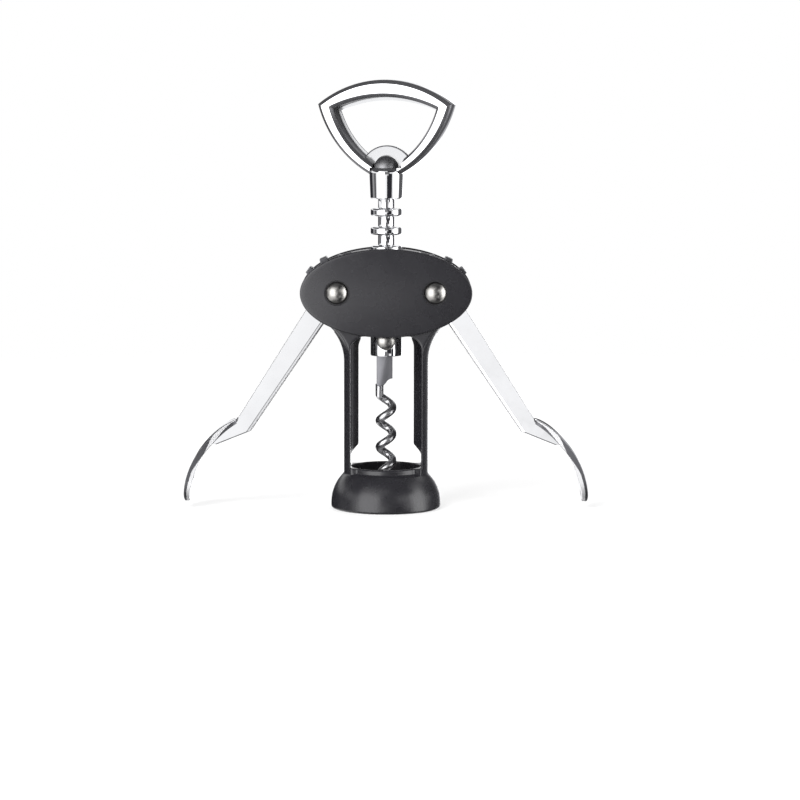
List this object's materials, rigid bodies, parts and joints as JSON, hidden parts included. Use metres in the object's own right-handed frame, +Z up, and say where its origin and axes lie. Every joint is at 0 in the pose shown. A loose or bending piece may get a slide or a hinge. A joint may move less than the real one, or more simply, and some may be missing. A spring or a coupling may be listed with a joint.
{
  "type": "wing corkscrew",
  "caption": "Wing corkscrew: moulded bell and oval head, geared lever arms with thumb paddles, ringed rack, turning handle with bottle opener, and a wire worm.",
  "frame": {"origin": "centre of the bell's lower rim, on the surface that the tool stands on", "axes": "+Z up along the shaft, +X across the two levers, +Y to the back; the picture looks along +Y"},
  "size_m": [0.1456, 0.0394, 0.1536],
  "materials": {
    "black_plastic": "fine satin moulded",
    "chrome": "polished",
    "pin_steel": "satin nickel",
    "lifter_steel": "fine satin",
    "worm_steel": "drawn grey wire",
    "nylon": "natural",
    "seat_rubber": "soft"
  },
  "bodies": {
    "frame": {"frame": "black_plastic", "front_cover": "black_plastic", "back_cover": "black_plastic", "neck_seat": "seat_rubber", "left_pin": "pin_steel", "right_pin": "pin_steel", "left_pin_cap": "pin_steel", "right_pin_cap": "pin_steel", "left_front_washer": "nylon", "left_back_washer": "nylon", "right_front_washer": "nylon", "right_back_washer": "nylon"},
    "left_lever": {"left_lever": "chrome"},
    "right_lever": {"right_lever": "chrome"},
    "rack": {"rack_sleeve": "chrome"},
    "spindle": {"spindle_rod": "worm_steel", "handle": "chrome", "cap_lifter": "lifter_steel", "worm_collar": "chrome", "worm_pin": "pin_steel", "worm": "worm_steel"}
  },
  "joints": [
    {"name": "left_lever", "type": "hinge", "parent": "frame", "child": "left_lever", "pos_m": [-0.0175, 0, 0.07815], "axis": [0, 1, 0], "range_deg": [0, 118]},
    {"name": "right_lever", "type": "hinge", "parent": "frame", "child": "right_lever", "pos_m": [0.0175, 0, 0.07815], "axis": [0, -1, 0], "range_deg": [0, 118]},
    {"name": "rack_slide", "type": "slide", "parent": "frame", "child": "rack", "axis": [0, 0, -1], "range_m": [0, 0.0262]},
    {"name": "spindle_turn", "type": "hinge", "parent": "rack", "child": "spindle", "pos_m": [0, 0, 0.1], "axis": [0, 0, 1], "continuous": true}
  ],
  "couplings": [
    {"joint": "right_lever", "follows": "left_lever", "ratio": 1},
    {"joint": "rack_slide", "follows": "left_lever", "m_per_rad": 0.01272}
  ]
}
